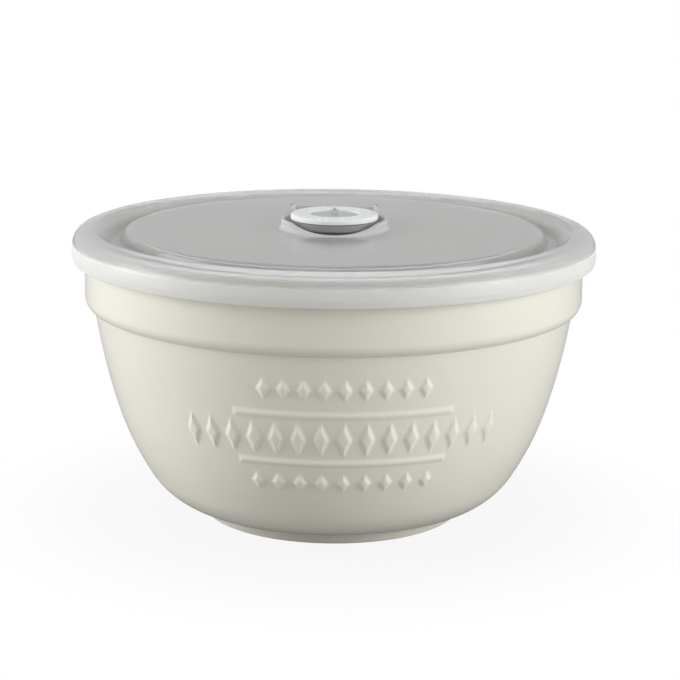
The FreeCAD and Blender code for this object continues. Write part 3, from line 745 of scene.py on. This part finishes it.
def lid_section(settings, basin):
    """The lid's section: skirt, shoulder, crest, slope, groove, plateau, well, and back underneath."""
    levels = lid_levels(settings)
    crest, groove, plateau = levels.crest, levels.groove, levels.plateau
    lip, floor = levels.lip, levels.floor
    plate = settings.plate
    under_crest = crest - settings.crest_plate

    def slope_at(height, offset):
        return slope_radius(settings, basin, height, settings.seat_gap + offset)

    groove_outer = slope_at(groove, plate)
    groove_inner = groove_outer - settings.groove_width
    plateau_radius = groove_inner - settings.plateau_shoulder
    well_outer = settings.well_radius + settings.well_wall
    grip = COLLAR_RADIUS + settings.grip
    bead = SKIRT_BOTTOM + settings.grip_height
    return rounded_section([
        (SKIRT_RADIUS - settings.skirt_draft, SKIRT_BOTTOM, settings.skirt_edge),
        (SKIRT_RADIUS, bead, settings.grip_height / 2),
        (SKIRT_RADIUS - settings.skirt_draft, crest, settings.shoulder_round),
        (slope_at(crest, plate), crest, settings.crest_inner_round),
        (groove_outer, groove, settings.groove_round),
        (groove_inner, groove, settings.groove_round),
        (plateau_radius, plateau, settings.plateau_round),
        (well_outer, plateau, settings.well_round),
        (well_outer, lip, settings.lip_round),
        (settings.well_radius, lip, settings.lip_round),
        (settings.well_radius, floor, settings.well_round),
        (settings.steam_hole, floor, 0),
        (settings.steam_hole, floor - settings.well_floor, 0),
        (well_outer, floor - settings.well_floor, settings.well_bottom_round),
        (well_outer, plateau - plate, settings.well_round),
        (plateau_radius - plate, plateau - plate, settings.plateau_round - plate),
        (groove_inner - plate, groove - plate, settings.groove_round),
        (slope_at(groove - plate, 0), groove - plate, settings.groove_round),
        (slope_at(under_crest, 0), under_crest, plate / 4),
        (SKIRT_RADIUS - plate, under_crest, settings.shoulder_round - plate),
        (SKIRT_RADIUS - plate, bead + settings.grip_slope, settings.skirt_edge),
        (grip, bead, settings.skirt_edge),
        (grip, SKIRT_BOTTOM, settings.skirt_edge),
    ], longest=1.5 * MM)


def cut_lip(settings, grid):
    """Lower the well's lip: to a sloping plane in front, and to the plateau between the hinge ears.

    The plane goes from the lip's height down to the plateau over the length of the cut.
    """
    levels = lid_levels(settings)
    plateau = levels.plateau
    x, y, z = grid[..., 0], grid[..., 1], grid[..., 2]
    near_well = np.hypot(x, y) < settings.well_radius + 3 * settings.well_wall
    foot = settings.scoop_start + settings.scoop_length
    slope = (levels.lip - plateau) / settings.scoop_length
    plane = np.maximum(plateau, plateau + (y + foot) * slope)
    pocket = (np.abs(x) < settings.box_half) & (y > settings.well_radius / 2)
    ceiling = np.where(pocket, plateau, plane)
    grid[..., 2] = np.where(near_well, np.minimum(z, ceiling), z)


def ear_grid(settings, side, root):
    """One ear: a plate round the pin's bore, with a round head and a straight foot.

    Round the pin, the outline is the head's radius above, and the nearer of the plate's side and
    its root below. The section across the plate is a rectangle from the bore to the outline.
    """
    hinge_z = lid_levels(settings).lip - settings.hinge_drop
    turn = np.linspace(0, 2 * math.pi, EAR_COLUMNS, endpoint=False)
    cosine, sine = np.cos(turn), np.sin(turn)
    aside, down = np.maximum(np.abs(cosine), SAME_PLACE), np.maximum(-sine, SAME_PLACE)
    square = np.minimum(settings.ear_radius / aside, (hinge_z - root) / down)
    outline = np.where(sine >= 0, settings.ear_radius, square)
    bore = np.full_like(outline, settings.pin_bore)
    inner = side * settings.box_half
    outer = side * (settings.box_half + settings.ear_plate)
    across = (inner, inner, outer, outer) if side < 0 else (outer, outer, inner, inner)
    reach = (outline, bore, bore, outline)
    return np.stack([
        np.stack((np.full_like(turn, x), settings.hinge_y + r * cosine, hinge_z + r * sine), axis=1)
        for x, r in zip(across, reach)
    ], axis=1)


def rib_grid(settings, root):
    """The rib behind the cap: a rounded upright section carried along X, closed by its own ends."""
    near = settings.rib_y
    far = near + settings.rib_plate
    top = lid_levels(settings).lip + settings.rib_rise
    outline = rounded_section([
        (near, root, 0),
        (near, top, settings.rib_round),
        (far, top, settings.rib_round),
        (far, root, 0),
    ])
    half = settings.box_half + settings.ear_plate
    middle = outline.mean(axis=0)
    rows = []
    for x, spread in ((half, 0.0), (half, 1.0), (-half, 1.0), (-half, 0.0)):
        points = middle + (outline - middle) * spread
        rows.append(np.column_stack((np.full(len(points), x), points)))
    return np.stack(rows, axis=1)


def make_lid(settings, basin):
    """The lid: its section turned about Z, with its lip cut, and the ears and rib behind the well."""
    root = lid_levels(settings).plateau - settings.plate / 2
    angles = np.linspace(0, 2 * math.pi, LID_COLUMNS, endpoint=False)
    grid = turn_about_axis(lid_section(settings, basin), angles)
    cut_lip(settings, grid)
    shape = Shape()
    shape.add_ring(grid)
    for side in (-1, 1):
        shape.add_ring(ear_grid(settings, side, root))
    shape.add_ball(rib_grid(settings, root))
    return shape.build("milky_lid")


class BASIN_OT_basin(bpy.types.Operator):
    """Turn the glazed basin and raise the pattern on its front"""
    bl_idname = "pudding_basin.basin"
    bl_label = "Glazed basin"
    bl_options = {"REGISTER", "UNDO"}

    def execute(self, context):
        settings = context.scene.pudding_basin_settings
        basin = make_basin(settings)
        basin.data.materials.append(glaze_finish(settings))
        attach(basin, "basin")
        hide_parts("basin")
        return {"FINISHED"}


class BASIN_OT_lid(bpy.types.Operator):
    """Turn the milky lid and add its hinge ears and rib"""
    bl_idname = "pudding_basin.lid"
    bl_label = "Milky lid"
    bl_options = {"REGISTER", "UNDO"}

    def execute(self, context):
        settings = context.scene.pudding_lid_settings
        lid = make_lid(settings, context.scene.pudding_basin_settings)
        lid.data.materials.append(lid_finish(settings))
        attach(lid, "lid")
        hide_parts("lid")
        return {"FINISHED"}


class BASIN_OT_vent(bpy.types.Operator):
    """Give the flip-up cap and its plug their finishes"""
    bl_idname = "pudding_basin.vent"
    bl_label = "Vent cap and plug"
    bl_options = {"REGISTER", "UNDO"}

    def execute(self, context):
        settings = context.scene.pudding_vent_settings
        finishes = {"vent_cap": cap_finish(settings), "vent_plug": plug_finish(settings)}
        for node, material in finishes.items():
            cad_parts[node].material_slots[0].material = material
        return {"FINISHED"}


def floor_finish(settings):
    """Pale floor that the camera sees as near white, and that still takes a soft shadow."""
    finish = Finish("pale_floor")
    rays = finish.node("ShaderNodeLightPath", {}, {})
    seen = Field(finish, rays.outputs["Is Camera Ray"])
    through = Field(finish, rays.outputs["Is Transmission Ray"])
    finish.surface(Base_Color=(*settings.floor, 1), Roughness=0.9)
    glow = finish.node("ShaderNodeEmission", {}, {"Color": (1, 1, 1, 1), "Strength": 1.0})
    apart, reach = finish.radius(), settings.shadow_reach
    looked_at = finish.ramp(apart, reach / 2, reach, settings.near_white, 1.0)
    seen_through = finish.ramp(apart, reach, settings.clear_reach, 0.0, 1.0)
    finish.cover(seen * looked_at + through * seen_through, glow.outputs[0])
    return finish.material


def add_floor(settings):
    """A wide floor under the object."""
    half = settings.floor_half
    corners = [(-half, -half, 0), (half, -half, 0), (half, half, 0), (-half, half, 0)]
    mesh = bpy.data.meshes.new("floor")
    mesh.from_pydata(corners, [], [(0, 1, 2, 3)])
    floor = bpy.data.objects.new("floor", mesh)
    bpy.context.scene.collection.objects.link(floor)
    floor.data.materials.append(floor_finish(settings))


def light_world(settings):
    """White all round: full for the camera and through the plastic, weaker in reflections and as light."""
    world = bpy.data.worlds.new("studio")
    bpy.context.scene.world = world
    nodes = Nodes(world)
    back = nodes.found("BACKGROUND")
    nodes.give(back.inputs["Color"], (1, 1, 1, 1))
    rays = nodes.node("ShaderNodeLightPath", {}, {})
    levels = {"Is Glossy Ray": settings.mirrored, "Is Transmission Ray": 1.0, "Is Camera Ray": 1.0}
    level = settings.ambient
    for ray, white in levels.items():
        mix = nodes.node("ShaderNodeMix", {}, {"Factor": rays.outputs[ray], "A": level, "B": white})
        level = mix.outputs["Result"]
    nodes.give(back.inputs["Strength"], level)


# Lamps: the place in metres, and the width and height, of each lamp that points at the basin's middle
LAMPS = {
    "left": ((-0.82, -0.03, 0.26), (0.5, 0.5)),
    "right": ((0.76, -0.3, 0.26), (0.5, 0.5)),
    "top": ((0, 0.25, 0.9), (0.9, 0.5)),
}
LAMP_TARGET = (0, 0, 0.05)


def add_lamps(settings):
    """Soft rectangular lamps that reflections don't show."""
    for side, (place, size) in LAMPS.items():
        name = side + "_lamp"
        lamp = bpy.data.lights.new(name, "AREA")
        lamp.shape = "RECTANGLE"
        lamp.size, lamp.size_y = size
        lamp.energy = getattr(settings, side + "_power")
        lamp.color = settings.lamp_colour
        holder = bpy.data.objects.new(name, lamp)
        holder.visible_glossy = False
        holder.location = place
        aim = Vector(LAMP_TARGET) - Vector(place)
        holder.rotation_euler = aim.to_track_quat("-Z", "Y").to_euler()
        bpy.context.scene.collection.objects.link(holder)


def add_camera(settings):
    """The camera, where the reference view was taken from: pitched down, then rolled."""
    data = bpy.data.cameras.new("camera")
    data.lens = settings.focal_length / MM
    data.sensor_width = 36
    data.clip_start = 10 * MM
    camera = bpy.data.objects.new("camera", data)
    place = Matrix.Translation((settings.camera_x, -settings.camera_distance, settings.camera_height))
    pitch = Matrix.Rotation(math.pi / 2 - settings.camera_pitch, 4, "X")
    roll = Matrix.Rotation(settings.camera_roll, 4, "Z")
    camera.matrix_basis = place @ pitch @ roll
    bpy.context.scene.collection.objects.link(camera)
    bpy.context.scene.camera = camera


class BASIN_OT_studio(bpy.types.Operator):
    """Lay the pale floor, hang the lamps and place the camera"""
    bl_idname = "pudding_basin.studio"
    bl_label = "Studio"
    bl_options = {"REGISTER", "UNDO"}

    def execute(self, context):
        settings = context.scene.pudding_studio_settings
        add_floor(settings)
        light_world(settings)
        add_lamps(settings)
        add_camera(settings)
        context.scene.view_settings.view_transform = "Standard"
        context.scene.cycles.transparent_max_bounces = 32
        return {"FINISHED"}


class BASIN_PT_panel(bpy.types.Panel):
    """Sidebar panel with the pieces and the studio"""
    bl_label = "Pudding Basin"
    bl_idname = "BASIN_PT_panel"
    bl_space_type = "VIEW_3D"
    bl_region_type = "UI"
    bl_category = "Pudding Basin"

    def draw(self, context):
        for operator in OPERATORS:
            self.layout.operator(operator.bl_idname)
        for name in SETTINGS:
            group = getattr(context.scene, name)
            box = self.layout.box()
            for field in group.bl_rna.properties:
                if not field.is_readonly and field.identifier != "name":
                    box.prop(group, field.identifier)


OPERATORS = (BASIN_OT_basin, BASIN_OT_lid, BASIN_OT_vent, BASIN_OT_studio)
SETTINGS = {
    "pudding_basin_settings": BasinSettings,
    "pudding_lid_settings": LidSettings,
    "pudding_vent_settings": VentSettings,
    "pudding_studio_settings": StudioSettings,
}


def register():
    """Register the settings, operators and panel."""
    for cls in (*SETTINGS.values(), *OPERATORS, BASIN_PT_panel):
        bpy.utils.register_class(cls)
    for name, cls in SETTINGS.items():
        setattr(bpy.types.Scene, name, PointerProperty(type=cls))


def unregister():
    """Take the settings, operators and panel away again."""
    for name in SETTINGS:
        delattr(bpy.types.Scene, name)
    for cls in (BASIN_PT_panel, *reversed(OPERATORS), *reversed(SETTINGS.values())):
        bpy.utils.unregister_class(cls)


def main():
    """Register everything, and build each piece and the studio."""
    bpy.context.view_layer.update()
    register()
    bpy.ops.pudding_basin.basin()
    bpy.ops.pudding_basin.lid()
    bpy.ops.pudding_basin.vent()
    bpy.ops.pudding_basin.studio()


if __name__ == "__main__":
    main()
